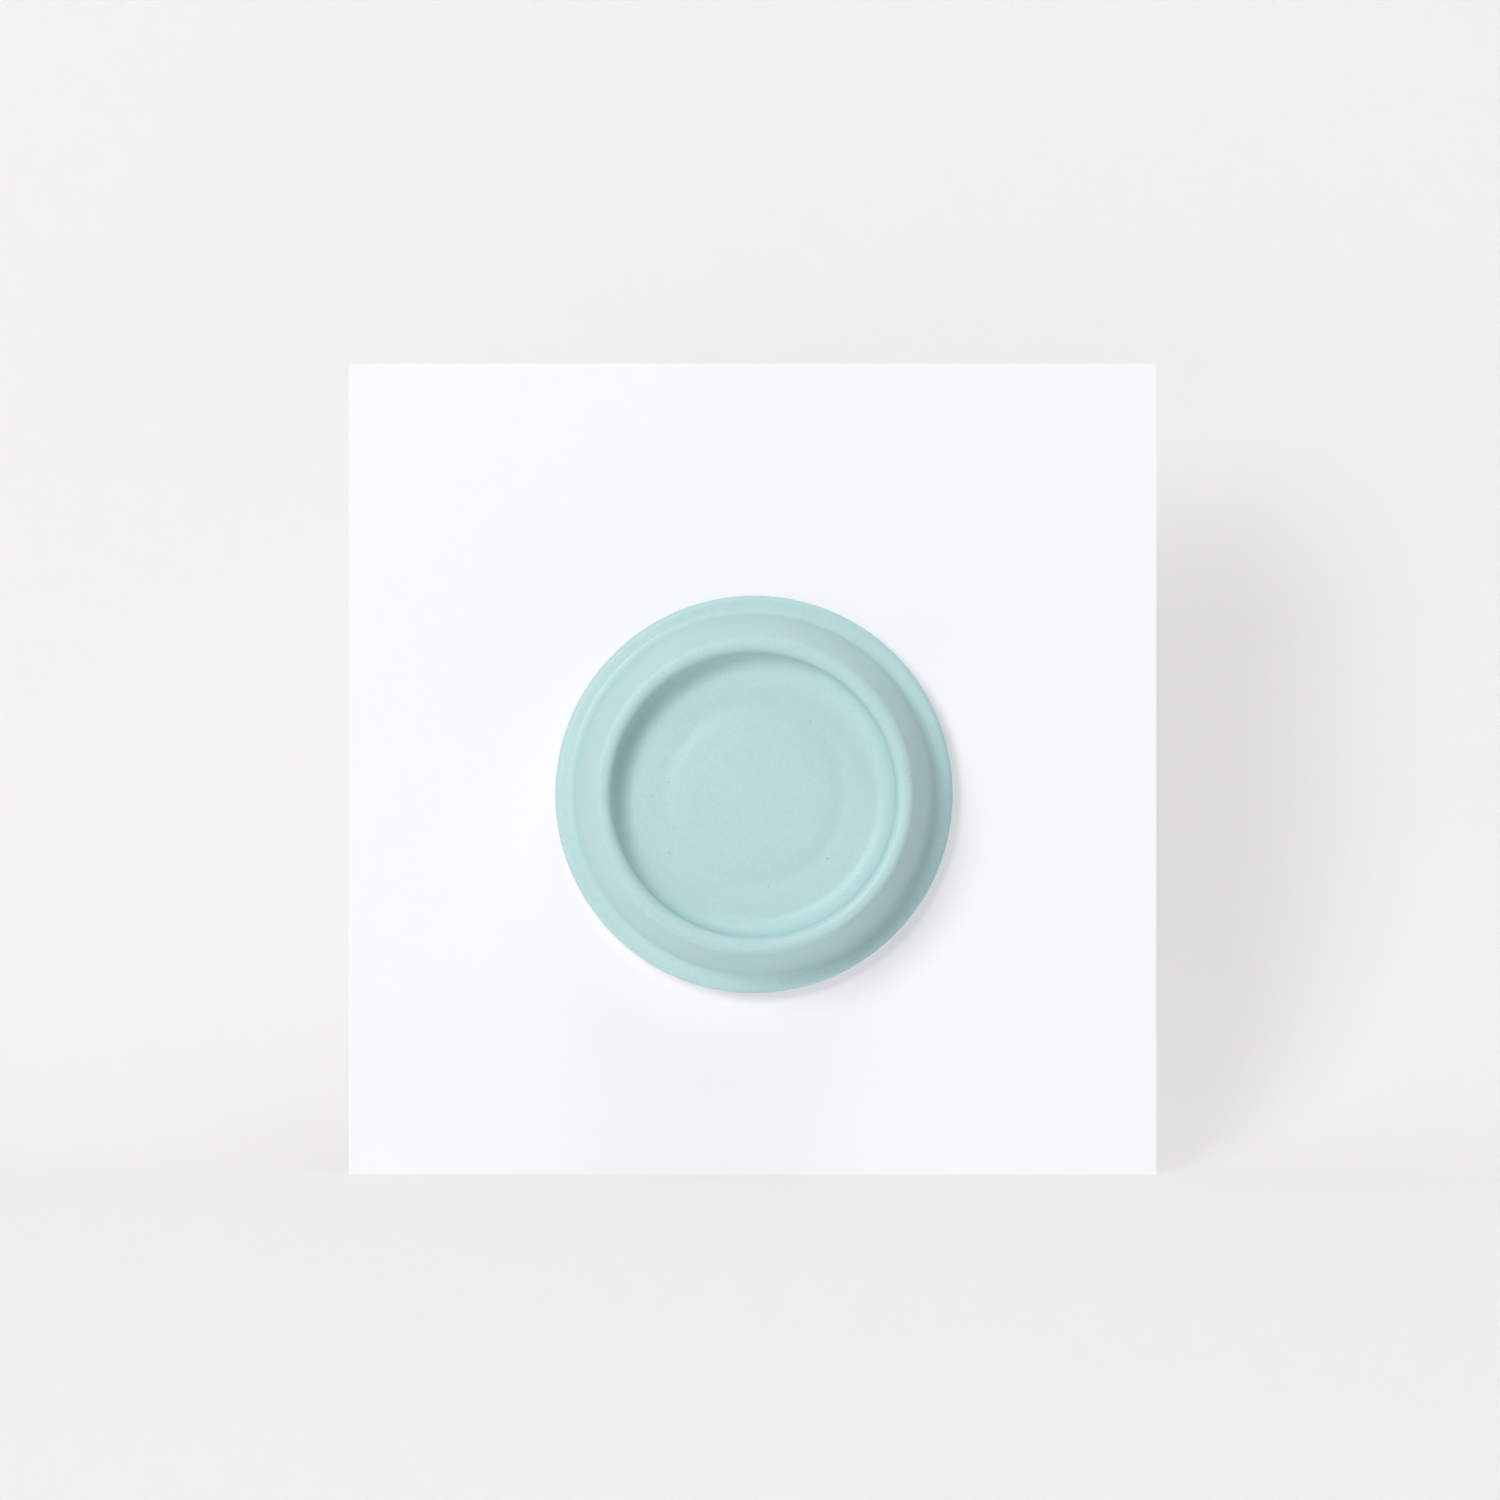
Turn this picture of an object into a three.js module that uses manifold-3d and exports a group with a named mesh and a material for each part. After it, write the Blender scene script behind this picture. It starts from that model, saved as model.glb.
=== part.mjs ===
// Magnetic soap holder for a bathroom wall, in millimetres.
// The adhesive face lies on y = 0 and the dish opens towards -Y, with Z up.
// A profile point is [radius, reach], where reach is the distance from the wall.

import * as THREE from "three";
import { mergeVertices } from "three/addons/utils/BufferGeometryUtils.js";
import Module from "manifold-3d";

const wasm = await Module();
wasm.setup();

// Fits
const fitGap = 0.3; // round a piece that drops into its pocket
const seatGap = 0.1; // between two faces that are glued or pressed together
const ribBite = 0.4; // how far a rib runs into the walls that carry it

// Adhesive pad
const padThickness = 1.0;
const padInset = 1.8; // from the rim of the flange

// Back cover
const coverThickness = 1.4;
const coverLedge = 1.2; // width of the ledge that the cover is glued to
const coverChamfer = 0.3;
const spigotHeight = 0.4; // presses the steel cup forward
const spigotInset = 1.5; // from the side of the steel cup
const collarHeight = 1.2; // centres the cover on the boss
const collarWall = 1.0;

// Steel cup with the magnet in it
const cupRadius = 10.0;
const cupHeight = 4.5;
const cupWall = 1.4;
const cupFloor = 1.2;
const cupEdge = 0.7; // drawn edge at the back
const magnetChamfer = 0.25;

// Sealing ring between the boss and the cover
const sealSection = 1.0;

// Boss round the steel cup
const bossLand = 0.9; // wall outside the sealing ring
const bossLeadIn = 0.3;
const ribCount = 8;
const ribThickness = 1.2;

// Dish
const magnetWindow = 1.0; // floor in front of the magnet, beside the dome
const dishFloorWall = 1.8; // floor beside the boss
const dishDepth = 4.2;
const dishDraft = THREE.MathUtils.degToRad(2.4);
const coveRadius = 2.4;
const domeHeight = 0.5; // low dome over the magnet
const domeRadius = 11.1;
const domeLand = 3.0; // radius of the flat at its top

// Bell and flange
const bellRadius = 22.3; // where the flank would meet the flange
const bellWall = 2.0;
const flankDraft = THREE.MathUtils.degToRad(17);
const lipOuterRounding = 1.0;
const lipInnerRounding = 1.35;
const footFillet = 1.0;
const flangeWidth = 2.2; // beyond bellRadius
const flangeThickness = 2.2;
const flangeFrontRounding = 0.7;
const flangeBackRounding = 0.3;

// Facets
const rimFacets = 72;
const innerFacets = 48;
const arcFacetDegrees = 13;
const domeFacetDegrees = 1.8;
const sealFacetDegrees = 36;

// Stack from the wall outwards
const coverFront = padThickness + coverThickness;
const cupBack = coverFront + spigotHeight + seatGap;
const cupRim = cupBack + cupHeight;
const pocketCeiling = cupRim + seatGap;
const dishFloor = pocketCeiling + magnetWindow;
const crest = dishFloor + dishDepth;
const flangeFront = padThickness + flangeThickness;
const hollowCeiling = dishFloor - dishFloorWall;
const ledge = coverFront + seatGap;

// Radii from the axis outwards
const pocketRadius = cupRadius + fitGap;
const sealRadius = pocketRadius + seatGap + sealSection / 2;
const rebateRadius = pocketRadius + sealSection + 2 * seatGap;
const bossRadius = rebateRadius + bossLand;
const collarRadius = bossRadius + fitGap;
const flangeRadius = bellRadius + flangeWidth;
const recessRadius = flankAt(ledge, bellWall) + coverLedge;

// Radius of the flank's slope at a reach, moved inwards by a depth square to the slope.
function flankAt(reach, depth = 0) {
  const climb = (reach - flangeFront) * Math.sin(flankDraft);
  return bellRadius - (depth + climb) / Math.cos(flankDraft);
}

// Points of an arc about [radius, reach], in degrees from the outward direction towards the front.
function arc(radius, reach, size, from, to, facetDegrees = arcFacetDegrees) {
  const steps = Math.max(2, Math.ceil(Math.abs(to - from) / facetDegrees));
  return Array.from({ length: steps + 1 }, (_, i) => {
    const angle = THREE.MathUtils.degToRad(from + ((to - from) * i) / steps);
    return [radius + size * Math.cos(angle), reach + size * Math.sin(angle)];
  });
}

// A profile runs from the front, round the outside, to the back.
function turned(profile, facets) {
  const points = profile.map(([radius, reach]) => new THREE.Vector2(radius, -reach));
  return new THREE.LatheGeometry(points, facets);
}

function solidOf(geometry) {
  geometry.deleteAttribute("normal");
  geometry.deleteAttribute("uv");
  const merged = mergeVertices(geometry);
  return new wasm.Manifold(
    new wasm.Mesh({
      numProp: 3,
      vertProperties: merged.attributes.position.array,
      triVerts: new Uint32Array(merged.index.array),
    }),
  );
}

function geometryOf(solid) {
  const mesh = solid.getMesh();
  const geometry = new THREE.BufferGeometry();
  geometry.setAttribute("position", new THREE.BufferAttribute(mesh.vertProperties, mesh.numProp));
  geometry.setIndex(new THREE.BufferAttribute(mesh.triVerts, 1));
  geometry.computeVertexNormals();
  return geometry;
}

function named(name, geometry, material) {
  const mesh = new THREE.Mesh(geometry, material);
  mesh.name = name;
  return mesh;
}

// Low dome on the floor of the dish: a flat land, then one arc that falls to the floor.
function domeProfile() {
  const run = domeRadius - domeLand;
  const size = (run ** 2 + domeHeight ** 2) / (2 * domeHeight);
  const fall = THREE.MathUtils.radToDeg(Math.asin(run / size));
  const centre = dishFloor + domeHeight - size;
  return [[0, dishFloor + domeHeight], ...arc(domeLand, centre, size, 90, 90 - fall, domeFacetDegrees)];
}

// Front of the housing: the dish, its rounded lip, the tapered flank and the flange.
function dishProfile() {
  const draft = THREE.MathUtils.radToDeg(flankDraft);
  const lean = THREE.MathUtils.radToDeg(dishDraft);
  const lipCentre = flankAt(crest - lipOuterRounding, lipOuterRounding);
  const cove = Math.min(coveRadius, dishDepth - lipInnerRounding);
  const wallRun = dishDepth - lipInnerRounding - cove; // between the centres of the two arcs
  const coveCentre =
    lipCentre - (lipInnerRounding + cove) / Math.cos(dishDraft) - wallRun * Math.tan(dishDraft);
  const footCentre = flankAt(flangeFront + footFillet, -footFillet);
  return [
    ...domeProfile(),
    ...arc(coveCentre, dishFloor + cove, cove, -90, -lean),
    ...arc(lipCentre, crest - lipInnerRounding, lipInnerRounding, 180 - lean, 90),
    ...arc(lipCentre, crest - lipOuterRounding, lipOuterRounding, 90, draft).slice(1),
    ...arc(footCentre, flangeFront + footFillet, footFillet, 180 + draft, 270),
    ...arc(flangeRadius - flangeFrontRounding, flangeFront - flangeFrontRounding,
      flangeFrontRounding, 90, 0),
    ...arc(flangeRadius - flangeBackRounding, padThickness + flangeBackRounding,
      flangeBackRounding, 0, -90),
  ];
}

// Back of the housing: the cover's recess, the hollow, the boss and the pocket for the steel cup.
function pocketProfile() {
  return [
    [recessRadius, padThickness],
    [recessRadius, ledge],
    [flankAt(ledge, bellWall), ledge],
    [flankAt(hollowCeiling, bellWall), hollowCeiling],
    [bossRadius, hollowCeiling],
    [bossRadius, ledge + bossLeadIn],
    [bossRadius - bossLeadIn, ledge],
    [rebateRadius, ledge],
    [rebateRadius, ledge + sealSection + seatGap],
    [pocketRadius, ledge + sealSection + seatGap],
    [pocketRadius, pocketCeiling],
    [0, pocketCeiling],
  ];
}

// One rib from the boss to the flank, clear of the cover's collar.
function rib() {
  const back = coverFront + collarHeight + fitGap;
  const front = hollowCeiling + ribBite;
  const side = new THREE.Shape(
    [
      [bossRadius - ribBite, back],
      [flankAt(back, bellWall - ribBite), back],
      [flankAt(front, bellWall - ribBite), front],
      [bossRadius - ribBite, front],
    ].map(([radius, reach]) => new THREE.Vector2(radius, reach)),
  );
  const geometry = new THREE.ExtrudeGeometry(side, { depth: ribThickness, bevelEnabled: false });
  geometry.translate(0, 0, -ribThickness / 2);
  return geometry.rotateX(Math.PI); // the reach now points towards -Y
}

function housing() {
  let body = solidOf(turned([...dishProfile(), ...pocketProfile()], rimFacets));
  for (let i = 0; i < ribCount; i++) {
    body = body.add(solidOf(rib().rotateY((2 * Math.PI * (i + 1 / 2)) / ribCount)));
  }
  return geometryOf(body);
}

// Disc that closes the hollow, flush with the back of the flange.
function backCover() {
  const radius = recessRadius - fitGap;
  const spigot = cupRadius - spigotInset;
  return turned(
    [
      [0, coverFront + spigotHeight],
      [spigot, coverFront + spigotHeight],
      [spigot, coverFront],
      [collarRadius, coverFront],
      [collarRadius, coverFront + collarHeight],
      [collarRadius + collarWall, coverFront + collarHeight],
      [collarRadius + collarWall, coverFront],
      [radius, coverFront],
      [radius, padThickness + coverChamfer],
      [radius - coverChamfer, padThickness],
      [0, padThickness],
    ],
    rimFacets,
  );
}

// Drawn steel cup, open towards the dish.
function steelCup() {
  const bore = cupRadius - cupWall;
  return turned(
    [
      [0, cupBack + cupFloor],
      [bore, cupBack + cupFloor],
      [bore, cupRim],
      [cupRadius, cupRim],
      ...arc(cupRadius - cupEdge, cupBack + cupEdge, cupEdge, 0, -90),
      [0, cupBack],
    ],
    innerFacets,
  );
}

function magnet() {
  const radius = cupRadius - cupWall - fitGap;
  const back = cupBack + cupFloor + seatGap;
  return turned(
    [
      [0, cupRim],
      [radius - magnetChamfer, cupRim],
      [radius, cupRim - magnetChamfer],
      [radius, back + magnetChamfer],
      [radius - magnetChamfer, back],
      [0, back],
    ],
    innerFacets,
  );
}

function sealRing() {
  const half = sealSection / 2;
  const section = arc(sealRadius, ledge + half, half, 360, 0, sealFacetDegrees);
  return turned([...section.slice(0, -1), section[0]], innerFacets);
}

function adhesivePad() {
  const radius = flangeRadius - padInset;
  return turned([[0, padThickness], [radius, padThickness], [radius, 0], [0, 0]], rimFacets);
}

const tealPlastic = new THREE.MeshStandardMaterial({ color: 0xa9d3ce, roughness: 0.62 });
const coverPlastic = new THREE.MeshStandardMaterial({ color: 0x9fcac5, roughness: 0.66 });
const zincSteel = new THREE.MeshStandardMaterial({ color: 0xb9bcbe, roughness: 0.38, metalness: 1 });
const nickel = new THREE.MeshStandardMaterial({ color: 0xd2cec6, roughness: 0.18, metalness: 1 });
const blackRubber = new THREE.MeshStandardMaterial({ color: 0x1f2022, roughness: 0.8 });
const whiteFoam = new THREE.MeshStandardMaterial({ color: 0xeceeed, roughness: 0.9 });

const holder = new THREE.Group();
holder.add(
  named("housing", housing(), tealPlastic),
  named("magnet", magnet(), nickel),
  named("steel_cup", steelCup(), zincSteel),
  named("seal_ring", sealRing(), blackRubber),
  named("back_cover", backCover(), coverPlastic),
  named("adhesive_pad", adhesivePad(), whiteFoam),
);

export default holder;
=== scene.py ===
import math

import bmesh
import bpy
from mathutils import Matrix, Vector


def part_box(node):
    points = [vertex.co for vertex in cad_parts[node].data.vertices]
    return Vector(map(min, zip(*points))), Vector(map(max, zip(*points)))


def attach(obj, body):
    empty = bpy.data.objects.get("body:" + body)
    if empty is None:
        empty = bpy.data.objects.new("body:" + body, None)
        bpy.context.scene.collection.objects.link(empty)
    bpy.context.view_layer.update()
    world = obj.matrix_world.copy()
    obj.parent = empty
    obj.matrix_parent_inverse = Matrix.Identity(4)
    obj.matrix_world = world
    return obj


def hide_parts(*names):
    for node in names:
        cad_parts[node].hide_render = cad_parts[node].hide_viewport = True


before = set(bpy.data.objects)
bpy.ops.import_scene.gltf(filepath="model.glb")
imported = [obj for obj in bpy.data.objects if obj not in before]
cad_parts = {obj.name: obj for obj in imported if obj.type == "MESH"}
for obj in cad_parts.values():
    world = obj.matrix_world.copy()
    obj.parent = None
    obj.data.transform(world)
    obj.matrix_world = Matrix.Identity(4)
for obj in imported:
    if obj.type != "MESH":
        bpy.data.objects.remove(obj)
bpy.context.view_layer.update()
mm = 0.001
print("frame: nodes", sorted(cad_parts))


# Colours and nodes

def linearColour(hexText):  # sRGB hex to the linear values that the shaders take
    channels = [int(hexText[i:i + 2], 16) / 255 for i in (1, 3, 5)]
    linear = [c / 12.92 if c <= 0.04045 else ((c + 0.055) / 1.055) ** 2.4 for c in channels]
    return (*linear, 1.0)


def addNode(tree, kind, settings=None, inputs=None):  # a node with its settings, values and links
    node = tree.nodes.new(kind)
    for name, value in (settings or {}).items():
        setattr(node, name, value)
    for socket, value in (inputs or {}).items():
        if isinstance(value, bpy.types.NodeSocket):
            tree.links.new(value, node.inputs[socket])
        else:
            node.inputs[socket].default_value = value
    return node


def newMaterial(name):  # an empty node tree with an output
    material = bpy.data.materials.new(name)
    material.use_nodes = True
    material.node_tree.nodes.clear()
    output = material.node_tree.nodes.new("ShaderNodeOutputMaterial")
    return material, material.node_tree, output


def objectPoint(tree):  # the point on the piece, in metres
    return addNode(tree, "ShaderNodeTexCoord").outputs["Object"]


def perMm(size):  # texture scale that repeats about every size in mm
    return 1 / (size * mm)


# Materials

recycledPlastic = {
    "pale": "#B7D7D8",
    "deep": "#B3D3D4",
    "cloudMm": 11.0,
    "grainMm": 0.3,  # a spark-eroded grain is about 0.1 mm, too fine to show
    "grainRange": (0.3, 0.7),  # the part of the noise that counts
    "grainShade": 0.035,
    "grainHeightMm": 0.028,
    "speck": "#9AB9BB",
    "speckSpacingMm": 2.4,
    "speckMm": (0.08, 0.18),  # radius of the smallest and the largest
    "roughness": (0.43, 0.53),
    "ior": 1.53,
}


def recycledPolyamide(look, name):
    # injection-moulded recycled polyamide: a dry, even matte skin off a spark-eroded mould,
    # with slow clouds in the tint and a few dark specks of foreign fibre
    material, tree, output = newMaterial(name)
    point = objectPoint(tree)
    cloud = addNode(tree, "ShaderNodeTexNoise", inputs={
        "Vector": point, "Scale": perMm(look["cloudMm"]), "Detail": 2.0, "Roughness": 0.45})
    tint = addNode(tree, "ShaderNodeMix", {"data_type": "RGBA"}, {
        "Factor": cloud.outputs["Fac"],
        "A": linearColour(look["pale"]), "B": linearColour(look["deep"])})
    grain = addNode(tree, "ShaderNodeTexNoise", inputs={
        "Vector": point, "Scale": perMm(look["grainMm"]), "Detail": 3.0, "Roughness": 0.6})
    shade = addNode(tree, "ShaderNodeMapRange", inputs={
        "Value": grain.outputs["Fac"],
        "From Min": look["grainRange"][0], "From Max": look["grainRange"][1],
        "To Min": 1 - look["grainShade"], "To Max": 1 + look["grainShade"]})
    grained = addNode(tree, "ShaderNodeVectorMath", {"operation": "SCALE"}, {
        "Vector": tint.outputs["Result"], "Scale": shade.outputs["Result"]})
    cell = addNode(tree, "ShaderNodeTexVoronoi", inputs={
        "Vector": point, "Scale": perMm(look["speckSpacingMm"])})
    chance = addNode(tree, "ShaderNodeSeparateColor", inputs={"Color": cell.outputs["Color"]})
    smallest, largest = (size / look["speckSpacingMm"] for size in look["speckMm"])
    size = addNode(tree, "ShaderNodeMapRange", inputs={
        "Value": chance.outputs["Red"], "To Min": smallest, "To Max": largest})
    inside = addNode(tree, "ShaderNodeMath", {"operation": "SUBTRACT"}, {
        0: size.outputs["Result"], 1: cell.outputs["Distance"]})
    speck = addNode(tree, "ShaderNodeMapRange", inputs={
        "Value": inside.outputs["Value"], "From Max": smallest})
    colour = addNode(tree, "ShaderNodeMix", {"data_type": "RGBA"}, {
        "Factor": speck.outputs["Result"], "A": grained.outputs["Vector"],
        "B": linearColour(look["speck"])})
    roughness = addNode(tree, "ShaderNodeMapRange", inputs={
        "Value": grain.outputs["Fac"],
        "From Min": look["grainRange"][0], "From Max": look["grainRange"][1],
        "To Min": look["roughness"][0], "To Max": look["roughness"][1]})
    bump = addNode(tree, "ShaderNodeBump", inputs={
        "Height": grain.outputs["Fac"], "Distance": look["grainHeightMm"] * mm, "Strength": 1.0})
    shader = addNode(tree, "ShaderNodeBsdfPrincipled", inputs={
        "Base Color": colour.outputs["Result"], "Roughness": roughness.outputs["Result"],
        "IOR": look["ior"], "Normal": bump.outputs["Normal"]})
    tree.links.new(shader.outputs["BSDF"], output.inputs["Surface"])
    return material


zincPlate = {
    "base": "#C3C6C8",
    "shade": "#B2B6B9",
    "drawMm": 0.4,
    "drawRatio": 8,  # how much finer the marks are along the draw than round it
    "roughness": (0.32, 0.45),
}


def zincPlatedSteel(look):
    # drawn mild steel with bright zinc: a grey metal with fine rings from the drawing tool
    material, tree, output = newMaterial("zincPlatedSteel")
    point = objectPoint(tree)
    stretched = addNode(tree, "ShaderNodeMapping", inputs={
        "Vector": point, "Scale": (1, look["drawRatio"], 1)})
    marks = addNode(tree, "ShaderNodeTexNoise", inputs={
        "Vector": stretched.outputs["Vector"], "Scale": perMm(look["drawMm"]), "Detail": 3.0})
    colour = addNode(tree, "ShaderNodeMix", {"data_type": "RGBA"}, {
        "Factor": marks.outputs["Fac"],
        "A": linearColour(look["base"]), "B": linearColour(look["shade"])})
    roughness = addNode(tree, "ShaderNodeMapRange", inputs={
        "Value": marks.outputs["Fac"], "To Min": look["roughness"][0], "To Max": look["roughness"][1]})
    shader = addNode(tree, "ShaderNodeBsdfPrincipled", inputs={
        "Base Color": colour.outputs["Result"], "Metallic": 1.0,
        "Roughness": roughness.outputs["Result"]})
    tree.links.new(shader.outputs["BSDF"], output.inputs["Surface"])
    return material


nickelPlate = {
    "base": "#D9D4CB",
    "shade": "#CFCAC0",
    "peelMm": 0.6,
    "peelDepthMm": 0.004,
    "roughness": (0.14, 0.24),
}


def nickelPlatedMagnet(look):
    # sintered neodymium under bright nickel: warm silver, slightly orange-peeled by the sinter
    material, tree, output = newMaterial("nickelPlatedMagnet")
    point = objectPoint(tree)
    peel = addNode(tree, "ShaderNodeTexNoise", inputs={
        "Vector": point, "Scale": perMm(look["peelMm"]), "Detail": 2.0})
    colour = addNode(tree, "ShaderNodeMix", {"data_type": "RGBA"}, {
        "Factor": peel.outputs["Fac"],
        "A": linearColour(look["base"]), "B": linearColour(look["shade"])})
    roughness = addNode(tree, "ShaderNodeMapRange", inputs={
        "Value": peel.outputs["Fac"], "To Min": look["roughness"][0], "To Max": look["roughness"][1]})
    bump = addNode(tree, "ShaderNodeBump", inputs={
        "Height": peel.outputs["Fac"], "Distance": look["peelDepthMm"] * mm, "Strength": 1.0})
    shader = addNode(tree, "ShaderNodeBsdfPrincipled", inputs={
        "Base Color": colour.outputs["Result"], "Metallic": 1.0,
        "Roughness": roughness.outputs["Result"], "Normal": bump.outputs["Normal"]})
    tree.links.new(shader.outputs["BSDF"], output.inputs["Surface"])
    return material


nitrile = {
    "base": "#1E1F20",
    "bloom": "#2C2D2E",
    "bloomMm": 1.5,
    "roughness": (0.6, 0.8),
    "ior": 1.52,
}


def nitrileRubber(look):
    # moulded nitrile: near-black and dull, with a faint grey bloom
    material, tree, output = newMaterial("nitrileRubber")
    point = objectPoint(tree)
    bloom = addNode(tree, "ShaderNodeTexNoise", inputs={
        "Vector": point, "Scale": perMm(look["bloomMm"]), "Detail": 3.0})
    colour = addNode(tree, "ShaderNodeMix", {"data_type": "RGBA"}, {
        "Factor": bloom.outputs["Fac"],
        "A": linearColour(look["base"]), "B": linearColour(look["bloom"])})
    roughness = addNode(tree, "ShaderNodeMapRange", inputs={
        "Value": bloom.outputs["Fac"], "To Min": look["roughness"][0], "To Max": look["roughness"][1]})
    shader = addNode(tree, "ShaderNodeBsdfPrincipled", inputs={
        "Base Color": colour.outputs["Result"], "Roughness": roughness.outputs["Result"],
        "IOR": look["ior"]})
    tree.links.new(shader.outputs["BSDF"], output.inputs["Surface"])
    return material


foam = {
    "wall": "#EDEFEE",
    "cell": "#D9DCDB",
    "cellMm": 0.35,  # real cells are about 0.1 mm, too fine to show
    "cellDepthMm": 0.05,
    "cellRelief": 0.6,  # the adhesive fills the cells in part
    "roughness": (0.55, 0.8),
    "ior": 1.48,
}


def acrylicFoam(look):
    # closed-cell acrylic foam tape: a soft white with fine cells, slightly waxy from its adhesive
    material, tree, output = newMaterial("acrylicFoam")
    point = objectPoint(tree)
    cell = addNode(tree, "ShaderNodeTexVoronoi", inputs={
        "Vector": point, "Scale": perMm(look["cellMm"])})
    colour = addNode(tree, "ShaderNodeMix", {"data_type": "RGBA"}, {
        "Factor": cell.outputs["Distance"],
        "A": linearColour(look["cell"]), "B": linearColour(look["wall"])})
    roughness = addNode(tree, "ShaderNodeMapRange", inputs={
        "Value": cell.outputs["Distance"],
        "To Min": look["roughness"][0], "To Max": look["roughness"][1]})
    bump = addNode(tree, "ShaderNodeBump", inputs={
        "Height": cell.outputs["Distance"], "Distance": look["cellDepthMm"] * mm,
        "Strength": look["cellRelief"]})
    shader = addNode(tree, "ShaderNodeBsdfPrincipled", inputs={
        "Base Color": colour.outputs["Result"], "Roughness": roughness.outputs["Result"],
        "IOR": look["ior"], "Normal": bump.outputs["Normal"]})
    tree.links.new(shader.outputs["BSDF"], output.inputs["Surface"])
    return material


# Turned pieces

arcStepMm = 0.8  # the longest facet along a rounding


def roundCorner(bm, before, corner, after, rounding, facet):  # bevels one corner of an outline
    incoming, outgoing = before.co - corner.co, after.co - corner.co
    half = incoming.angle(outgoing) / 2
    turn = math.pi - 2 * half
    arc = turn * rounding
    steps = max(2, math.ceil(math.degrees(turn) / facet), math.ceil(arc / (arcStepMm * mm)))
    bmesh.ops.bevel(bm, geom=[corner], offset=rounding / math.tan(half), segments=steps,
                    profile=0.5, affect="VERTICES", material=-1)


def turnOutline(name, outline, facets, closed=False, facet=9):
    # outline rows are radius, reach from the wall and corner rounding, in mm, and a facet of a
    # rounding turns by at most the given degrees
    bm = bmesh.new()
    corners = [bm.verts.new((radius * mm, -reach * mm, 0)) for radius, reach, _ in outline]
    pairs = list(zip(corners, corners[1:]))
    if closed:
        pairs.append((corners[-1], corners[0]))
    for a, b in pairs:
        bm.edges.new((a, b))
    places = [corner.co.copy() for corner in corners]
    for i, (_, _, rounding) in enumerate(outline):
        if rounding:
            bm.verts.ensure_lookup_table()
            corner = min(bm.verts, key=lambda v: (v.co - places[i]).length)
            ends = [edge.other_vert(corner) for edge in corner.link_edges]
            roundCorner(bm, ends[0], corner, ends[1], rounding * mm, facet)
    bmesh.ops.spin(bm, geom=bm.verts[:] + bm.edges[:], cent=(0, 0, 0), axis=(0, 1, 0),
                   angle=2 * math.pi, steps=facets, use_merge=True)
    bmesh.ops.remove_doubles(bm, verts=bm.verts[:], dist=0.0005 * mm)
    bmesh.ops.recalc_face_normals(bm, faces=bm.faces[:])
    return finishMesh(bm, name)


def finishMesh(bm, name, sharpDegrees=38):  # smooth faces, with hard edges kept hard
    for face in bm.faces:
        face.smooth = True
    for edge in bm.edges:
        edge.smooth = edge.calc_face_angle(0) < math.radians(sharpDegrees)
    mesh = bpy.data.meshes.new(name)
    bm.to_mesh(mesh)
    bm.free()
    piece = bpy.data.objects.new(name, mesh)
    bpy.context.collection.objects.link(piece)
    return piece


def dress(piece, material, node):  # gives a piece its finish and its place in the frame
    piece.data.materials.clear()
    piece.data.materials.append(material)
    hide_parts(node)
    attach(piece, "root")
    print("piece:", piece.name, len(piece.data.polygons), "faces")


# The sizes that the pieces share, in mm, measured from the wall and from the axis

padLow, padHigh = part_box("adhesive_pad")
housingLow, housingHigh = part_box("housing")
_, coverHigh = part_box("back_cover")
cupLow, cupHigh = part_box("steel_cup")
_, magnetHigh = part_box("magnet")
sealLow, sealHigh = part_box("seal_ring")

reach = {
    "pad": -padLow.y / mm,
    "crest": -housingLow.y / mm,
    "spigot": 2.8,  # the cover's raised middle, behind the cup
    "cupBack": -cupHigh.y / mm,
    "cupRim": -cupLow.y / mm,
    "magnetBack": -magnetHigh.y / mm,
    "coverFront": 2.4,  # the cover's face in the hollow
    "ledge": -sealHigh.y / mm,
    "sealTop": -sealLow.y / mm,
}
radius = {
    "flange": housingHigh.x / mm,
    "pad": padHigh.x / mm,
    "cover": coverHigh.x / mm,
    "cup": cupHigh.x / mm,
    "magnet": magnetHigh.x / mm,
    "seal": sealHigh.x / mm,
}
seatGap = 0.1  # where one piece seats against another
fitGap = 0.3  # round a piece that slips into another

housing = {
    "facets": 288,
    "draft": math.radians(17),
    "bellRadius": 22.3,  # where the flank would meet the flange
    "flangeFront": 3.2,
    "dishDepth": 4.2,
    "dishRadius": 17.41,  # at the crest of the lip
    "dishDraft": math.radians(3.5),
    "dishRounding": 2.43,
    "lipInner": 1.02,
    "lipOuter": 0.95,
    "foot": 1.0,
    "flangeFrontRounding": 0.7,
    "flangeBackRounding": 0.3,
    # radius, height and rounding, from the top of the dome to the outer side of the shallow groove
    # round its foot
    "dome": [(4.0, 0.471, 130), (9.35, 0.303, 8), (10.88, 0.074, 5), (12.6, 0.14, 20)],
    "bellWall": 2.0,
    "floorWall": 1.8,
    "bossLand": 0.9,
    "moulded": 0.15,  # small roundings inside
    "ribs": 8,
    "ribThickness": 1.2,
    "ribBite": 0.4,
    "ribBack": 3.9,
}


def flankAt(at, depth=0.0):  # radius of the flank, or of a surface a depth inside it
    climb = (at - housing["flangeFront"]) * math.sin(housing["draft"])
    return housing["bellRadius"] - (depth + climb) / math.cos(housing["draft"])


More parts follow.
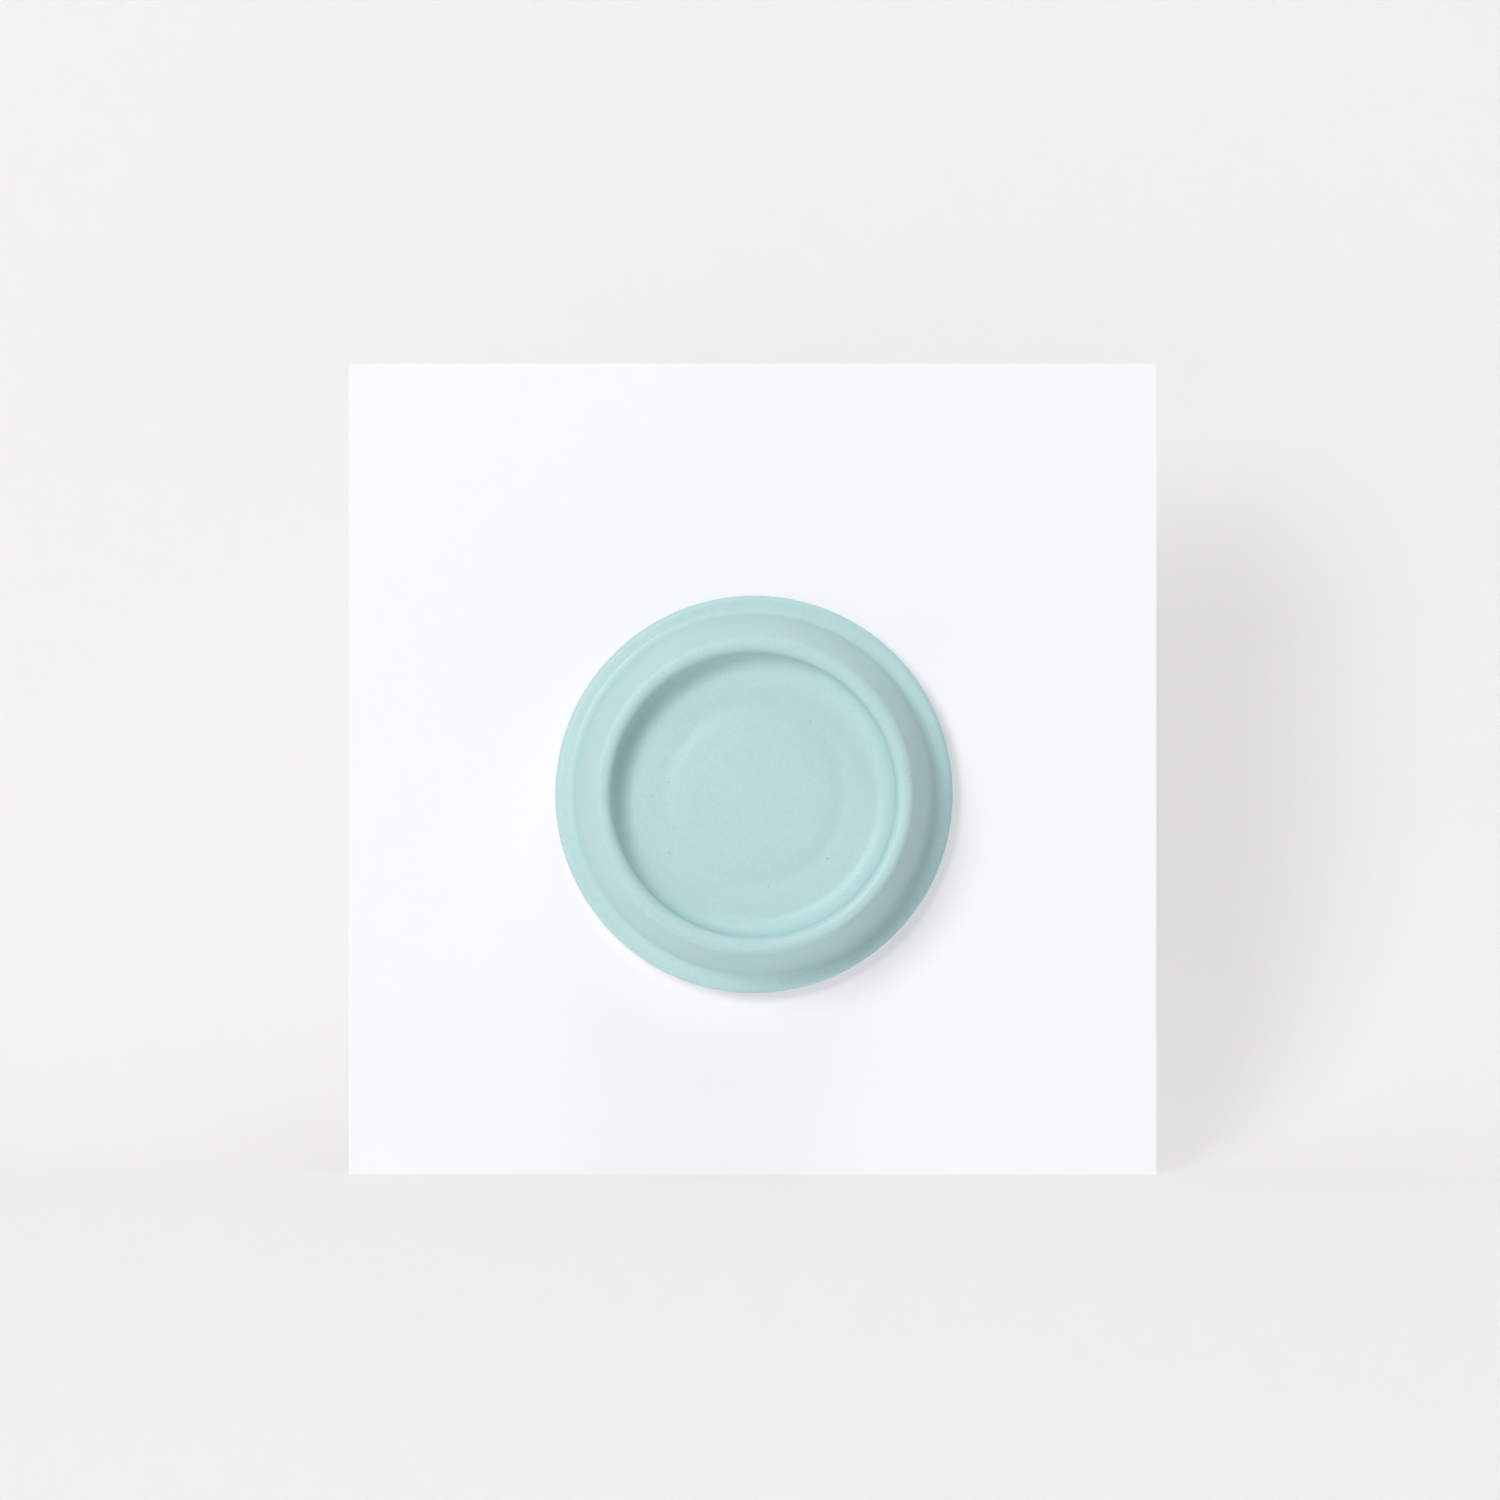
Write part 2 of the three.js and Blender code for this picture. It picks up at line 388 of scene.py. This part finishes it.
def housingOutline(h):
    crest = reach["crest"]
    floor = crest - h["dishDepth"]
    dome = [(at, floor + height, rounding) for at, height, rounding in h["dome"]]
    ceiling = floor - h["floorWall"]
    pocket = radius["cup"] + fitGap
    rebate = radius["seal"] + seatGap
    boss = rebate + h["bossLand"]
    small = h["moulded"]
    return [
        (0, dome[0][1], 0),
        *dome,
        (h["dishRadius"] - h["dishDepth"] * math.tan(h["dishDraft"]), floor, h["dishRounding"]),
        (h["dishRadius"], crest, h["lipInner"]),
        (flankAt(crest), crest, h["lipOuter"]),
        (h["bellRadius"], h["flangeFront"], h["foot"]),
        (radius["flange"], h["flangeFront"], h["flangeFrontRounding"]),
        (radius["flange"], reach["pad"], h["flangeBackRounding"]),
        (radius["cover"] + fitGap, reach["pad"], small),
        (radius["cover"] + fitGap, reach["ledge"], small),
        (flankAt(reach["ledge"], h["bellWall"]), reach["ledge"], small),
        (flankAt(ceiling, h["bellWall"]), ceiling, 2 * small),
        (boss, ceiling, 2 * small),
        (boss, reach["ledge"], 2 * small),
        (rebate, reach["ledge"], small),
        (rebate, reach["sealTop"] + seatGap, small),
        (pocket, reach["sealTop"] + seatGap, small),
        (pocket, reach["cupRim"] + seatGap, small),
        (0, reach["cupRim"] + seatGap, 0),
    ]


def housingRibs(h):  # the webs between the boss and the flank, inside the hollow
    ceiling = reach["crest"] - h["dishDepth"] - h["floorWall"] + h["ribBite"]
    inner = radius["seal"] + seatGap + h["bossLand"] - h["ribBite"]
    bite = h["bellWall"] - h["ribBite"]
    side = [(inner, h["ribBack"]), (flankAt(h["ribBack"], bite), h["ribBack"]),
            (flankAt(ceiling, bite), ceiling), (inner, ceiling)]
    bm = bmesh.new()
    half = h["ribThickness"] / 2
    corners = [bm.verts.new((r * mm, -at * mm, -half * mm)) for r, at in side]
    face = bm.faces.new(corners)
    grown = bmesh.ops.extrude_face_region(bm, geom=[face])
    moved = [v for v in grown["geom"] if isinstance(v, bmesh.types.BMVert)]
    bmesh.ops.translate(bm, verts=moved, vec=(0, 0, h["ribThickness"] * mm))
    step = 2 * math.pi / h["ribs"]
    bmesh.ops.rotate(bm, verts=bm.verts[:], matrix=Matrix.Rotation(step / 2, 3, "Y"))
    first = bm.verts[:] + bm.edges[:] + bm.faces[:]
    for i in range(1, h["ribs"]):
        copy = bmesh.ops.duplicate(bm, geom=first)
        verts = [v for v in copy["geom"] if isinstance(v, bmesh.types.BMVert)]
        bmesh.ops.rotate(bm, verts=verts, matrix=Matrix.Rotation(i * step, 3, "Y"))
    bmesh.ops.recalc_face_normals(bm, faces=bm.faces[:])
    return finishMesh(bm, "ribs")


def joinRibs(shell, ribs):  # one closed body, as it is moulded
    union = shell.modifiers.new("ribs", "BOOLEAN")
    union.operation = "UNION"
    union.solver = "EXACT"
    union.object = ribs
    shown = bpy.context.evaluated_depsgraph_get()
    joined = bpy.data.meshes.new_from_object(shell.evaluated_get(shown))
    shell.modifiers.clear()
    shell.data = joined
    bpy.data.objects.remove(ribs)


cover = {"facets": 192, "chamfer": 0.3, "spigotInset": 1.5, "collarHeight": 1.2, "collarWall": 1.0,
         "moulded": 0.12}


def coverOutline(c):
    front, small = reach["coverFront"], c["moulded"]
    spigot = radius["cup"] - c["spigotInset"]
    collar = radius["seal"] + seatGap + housing["bossLand"] + fitGap
    return [
        (0, reach["spigot"], 0),
        (spigot, reach["spigot"], small),
        (spigot, front, small),
        (collar, front, small),
        (collar, front + c["collarHeight"], small),
        (collar + c["collarWall"], front + c["collarHeight"], small),
        (collar + c["collarWall"], front, small),
        (radius["cover"], front, small),
        (radius["cover"], reach["pad"], c["chamfer"]),
        (0, reach["pad"], 0),
    ]


cup = {"facets": 160, "wall": 1.4, "floor": 1.2, "edge": 0.7, "inside": 0.125, "rim": 0.15}


def cupOutline(c):
    bore = radius["cup"] - c["wall"]
    return [
        (0, reach["cupBack"] + c["floor"], 0),
        (bore, reach["cupBack"] + c["floor"], c["inside"]),
        (bore, reach["cupRim"], c["rim"]),
        (radius["cup"], reach["cupRim"], c["rim"]),
        (radius["cup"], reach["cupBack"], c["edge"]),
        (0, reach["cupBack"], 0),
    ]


magnet = {"facets": 160, "edge": 0.25}


def magnetOutline(m):
    return [
        (0, reach["cupRim"], 0),
        (radius["magnet"], reach["cupRim"], m["edge"]),
        (radius["magnet"], reach["magnetBack"], m["edge"]),
        (0, reach["magnetBack"], 0),
    ]


seal = {"facets": 192, "rounding": 0.499}  # the rounding is a share of the section's width


def sealOutline(s):  # a square whose corners round to a circle
    section = reach["sealTop"] - reach["ledge"]
    outer, inner = radius["seal"], radius["seal"] - section
    rounding = s["rounding"] * section
    return [(inner, reach["sealTop"], rounding), (outer, reach["sealTop"], rounding),
            (outer, reach["ledge"], rounding), (inner, reach["ledge"], rounding)]


pad = {"facets": 256, "edge": 0.12, "waist": 0.15, "waistRounding": 0.8}


def padOutline(p):  # the die-cut edge draws in a little between its two adhesive faces
    middle = reach["pad"] / 2
    return [
        (0, reach["pad"], 0),
        (radius["pad"], reach["pad"], p["edge"]),
        (radius["pad"] - p["waist"], middle, p["waistRounding"]),
        (radius["pad"], 0, p["edge"]),
        (0, 0, 0),
    ]


coverPlastic = {**recycledPlastic, "pale": "#ADCFD0", "deep": "#A9CBCC"}  # a deeper batch

teal = recycledPolyamide(recycledPlastic, "recycledPolyamide")

shell = turnOutline("mouldedHousing", housingOutline(housing), housing["facets"])
joinRibs(shell, housingRibs(housing))
dress(shell, teal, "housing")

coverDisc = turnOutline("coverDisc", coverOutline(cover), cover["facets"])
dress(coverDisc, recycledPolyamide(coverPlastic, "coverPolyamide"), "back_cover")

drawnCup = turnOutline("drawnCup", cupOutline(cup), cup["facets"])
dress(drawnCup, zincPlatedSteel(zincPlate), "steel_cup")

magnetDisc = turnOutline("magnetDisc", magnetOutline(magnet), magnet["facets"])
dress(magnetDisc, nickelPlatedMagnet(nickelPlate), "magnet")

rubberSeal = turnOutline("rubberSeal", sealOutline(seal), seal["facets"], closed=True)
dress(rubberSeal, nitrileRubber(nitrile), "seal_ring")

foamPad = turnOutline("foamPad", padOutline(pad), pad["facets"])
dress(foamPad, acrylicFoam(foam), "adhesive_pad")


# Camera, level, at the photograph's distance and framing

photo = {
    "sizePx": 1500,
    "axisPx": (753.97, 794.46),
    "pxPerMm": 8.12,  # at the front of the flange
    "distanceMm": 770.0,  # from the front of the flange
    "panelPx": (347, 1158, 362, 1176),  # left, right, top and bottom of the panel
    "sensorMm": 36,
    "clip": (0.02, 20),  # metres
}


def placeCamera(p):
    data = bpy.data.cameras.new("camera")
    camera = bpy.data.objects.new("camera", data)
    bpy.context.collection.objects.link(camera)
    data.sensor_width = p["sensorMm"]
    data.lens = data.sensor_width * p["pxPerMm"] * p["distanceMm"] / p["sizePx"]
    middle = p["sizePx"] / 2
    x = (middle - p["axisPx"][0]) / p["pxPerMm"]
    z = (p["axisPx"][1] - middle) / p["pxPerMm"]
    y = -(housing["flangeFront"] + p["distanceMm"])
    camera.location = Vector((x, y, z)) * mm
    camera.rotation_euler = (math.pi / 2, 0, 0)
    data.clip_start, data.clip_end = p["clip"]
    bpy.context.scene.camera = camera
    print("camera: lens", round(data.lens, 1), "mm")


# Stage: a pale paper sweep, with a white panel that the holder is stuck to

stageLook = {
    "backdrop": "#F6F4F5",
    "sweep": {"paint": "#EEEDED", "plain": "#F6F4F5", "share": 0.6},
    "panel": {"paint": "#FAF9FC", "plain": "#FAF9FD", "share": 0.35},
    "fibreMm": 0.5,  # real fibres are finer than the render shows
    "mottle": 0.008,
    "roughness": 0.9,
    "ior": 1.45,
    "specular": 0.2,
    "panelGapMm": 0.05,
    "bendStartMm": 5.0,  # behind the panel
    "bendRadiusMm": 45.0,
    "bendSteps": 40,
    "spreadMm": 2500.0,
    "fadeMm": (450.0, 1100.0),  # where the sweep passes into the backdrop, from the holder
}


def seenRay(tree, ray):  # 1 for what the camera sees, straight, in a gloss or through glass
    seen = addNode(tree, "ShaderNodeMath", {"operation": "MAXIMUM"}, {
        0: ray.outputs["Is Camera Ray"], 1: ray.outputs["Is Glossy Ray"]})
    seen = addNode(tree, "ShaderNodeMath", {"operation": "MAXIMUM"}, {
        0: seen.outputs["Value"], 1: ray.outputs["Is Transmission Ray"]})
    return seen.outputs["Value"]


def stagePaint(name, paint, look):
    # matt paint and paper: bright and even, with a faint mottle from the fibres, and with a share
    # of a plain pale colour in what is seen of it, so that its shadows stay soft and its far edge
    # doesn't show
    material, tree, output = newMaterial(name)
    point = objectPoint(tree)
    fibre = addNode(tree, "ShaderNodeTexNoise", inputs={
        "Vector": point, "Scale": perMm(look["fibreMm"]), "Detail": 4.0})
    shade = addNode(tree, "ShaderNodeMapRange", inputs={
        "Value": fibre.outputs["Fac"],
        "To Min": 1 - look["mottle"], "To Max": 1 + look["mottle"]})
    colour = addNode(tree, "ShaderNodeVectorMath", {"operation": "SCALE"}, {
        0: linearColour(paint["paint"])[:3], "Scale": shade.outputs["Result"]})
    shader = addNode(tree, "ShaderNodeBsdfPrincipled", inputs={
        "Base Color": colour.outputs["Vector"], "Roughness": look["roughness"],
        "IOR": look["ior"], "Specular IOR Level": look["specular"]})
    ray = addNode(tree, "ShaderNodeLightPath")
    away = addNode(tree, "ShaderNodeVectorMath", {"operation": "LENGTH"}, {0: point})
    fade = addNode(tree, "ShaderNodeMapRange", inputs={
        "Value": away.outputs["Value"], "From Min": look["fadeMm"][0] * mm,
        "From Max": look["fadeMm"][1] * mm, "To Min": paint["share"], "To Max": 1.0})
    share = addNode(tree, "ShaderNodeMath", {"operation": "MULTIPLY"}, {
        0: seenRay(tree, ray), 1: fade.outputs["Result"]})
    plain = addNode(tree, "ShaderNodeEmission", inputs={"Color": linearColour(paint["plain"])})
    lifted = addNode(tree, "ShaderNodeMixShader", inputs={
        0: share.outputs["Value"], 1: shader.outputs["BSDF"], 2: plain.outputs["Emission"]})
    # from behind the stage is left out, so that the back of the holder shows
    geometry = addNode(tree, "ShaderNodeNewGeometry")
    behind = addNode(tree, "ShaderNodeMath", {"operation": "MULTIPLY"}, {
        0: geometry.outputs["Backfacing"], 1: ray.outputs["Is Camera Ray"]})
    clear = addNode(tree, "ShaderNodeBsdfTransparent")
    mixed = addNode(tree, "ShaderNodeMixShader", inputs={
        0: behind.outputs["Value"], 1: lifted.outputs["Shader"], 2: clear.outputs["BSDF"]})
    tree.links.new(mixed.outputs["Shader"], output.inputs["Surface"])
    return material


def buildStage(p, look):
    scale = p["pxPerMm"]
    left, right = ((x - p["axisPx"][0]) / scale for x in p["panelPx"][:2])
    top, bottom = ((p["axisPx"][1] - y) / scale for y in p["panelPx"][2:])
    spread, bend = look["spreadMm"], look["bendRadiusMm"]

    bm = bmesh.new()
    line = [(-spread, bottom), (look["bendStartMm"] + bend, bottom),
            (look["bendStartMm"] + bend, spread)]
    corners = [bm.verts.new((-spread * mm, y * mm, z * mm)) for y, z in line]
    for a, b in zip(corners, corners[1:]):
        bm.edges.new((a, b))
    bmesh.ops.bevel(bm, geom=[corners[1]], offset=bend * mm, segments=look["bendSteps"],
                    profile=0.5, affect="VERTICES", material=-1)
    grown = bmesh.ops.extrude_edge_only(bm, edges=bm.edges[:])
    moved = [v for v in grown["geom"] if isinstance(v, bmesh.types.BMVert)]
    bmesh.ops.translate(bm, verts=moved, vec=(2 * spread * mm, 0, 0))
    faceForward(bm)
    sweep = finishMesh(bm, "studioSweep")
    sweep.data.materials.append(stagePaint("sweepPaper", look["sweep"], look))

    bm = bmesh.new()
    bmesh.ops.create_grid(bm, x_segments=1, y_segments=1, size=0.5 * mm,
                          matrix=Matrix.Rotation(math.pi / 2, 4, "X"))
    bmesh.ops.scale(bm, verts=bm.verts[:], vec=(right - left, 1, top - bottom))
    middle = Vector((left + right, 2 * look["panelGapMm"], top + bottom)) * mm / 2
    bmesh.ops.translate(bm, verts=bm.verts[:], vec=middle)
    faceForward(bm)
    panel = finishMesh(bm, "studioPanel")
    panel.data.materials.append(stagePaint("panelPaint", look["panel"], look))
    print("stage: panel", round(right - left, 1), "by", round(top - bottom, 1), "mm")


def faceForward(bm):  # turns every face to the camera's side or up
    for face in bm.faces:
        face.normal_update()
        if face.normal.dot(Vector((0, -1, 0.5))) < 0:
            face.normal_flip()


# Light: a soft key from the upper left, a wide soft lamp from above, a weak fill from the lower left
# and a weak, even surround. The fill stands for light that pale things nearby throw back, and the
# rear lamp is for views from behind, so both light the holder alone.

light = {
    "key": {"tilt": 32, "turn": 142, "distance": 2.0, "size": 0.85, "watts": 24.3},
    "top": {"tilt": 70, "turn": 77, "distance": 2.0, "size": 1.2, "watts": 11.9},
    "fill": {"tilt": 82, "turn": 235, "distance": 2.0, "size": 1.2, "watts": 3.1},
    "rear": {"tilt": 174, "turn": 120, "distance": 1.1, "size": 0.3, "watts": 5.2},
    "surround": 0.05,
}


def addLamp(name, look):  # tilt is from the front, turn is anticlockwise from the right
    tilt, turn = math.radians(look["tilt"]), math.radians(look["turn"])
    across = math.sin(tilt)
    towards = Vector((across * math.cos(turn), -math.cos(tilt), across * math.sin(turn)))
    data = bpy.data.lights.new(name, "AREA")
    data.shape = "DISK"
    data.size = look["size"]
    data.energy = look["watts"]
    lamp = bpy.data.objects.new(name, data)
    bpy.context.collection.objects.link(lamp)
    lamp.location = towards * look["distance"]
    lamp.rotation_euler = towards.to_track_quat("Z", "Y").to_euler()
    lamp.visible_camera = False
    return lamp


def lightStage(look, pieces):
    ownPieces = bpy.data.collections.new("ownPieces")
    for piece in pieces:
        ownPieces.objects.link(piece)
    for name in ("key", "top"):
        addLamp(name + "Lamp", look[name])
    for name in ("fill", "rear"):
        lamp = addLamp(name + "Lamp", look[name])
        lamp.light_linking.receiver_collection = ownPieces
        lamp.light_linking.blocker_collection = ownPieces
    world = bpy.data.worlds.new("surround")
    bpy.context.scene.world = world
    world.use_nodes = True
    tree = world.node_tree
    tree.nodes.clear()
    ray = addNode(tree, "ShaderNodeLightPath")
    lit = addNode(tree, "ShaderNodeBackground", inputs={
        "Color": (1, 1, 1, 1), "Strength": look["surround"]})
    shown = addNode(tree, "ShaderNodeBackground", inputs={
        "Color": linearColour(stageLook["backdrop"]), "Strength": 1.0})
    mixed = addNode(tree, "ShaderNodeMixShader", inputs={
        0: seenRay(tree, ray), 1: lit.outputs["Background"], 2: shown.outputs["Background"]})
    output = tree.nodes.new("ShaderNodeOutputWorld")
    tree.links.new(mixed.outputs["Shader"], output.inputs["Surface"])
    print("light: key", look["key"]["watts"], "W, surround", look["surround"])


placeCamera(photo)
buildStage(photo, stageLook)
lightStage(light, [shell, coverDisc, drawnCup, magnetDisc, rubberSeal, foamPad])
bpy.context.scene.view_settings.view_transform = "Standard"
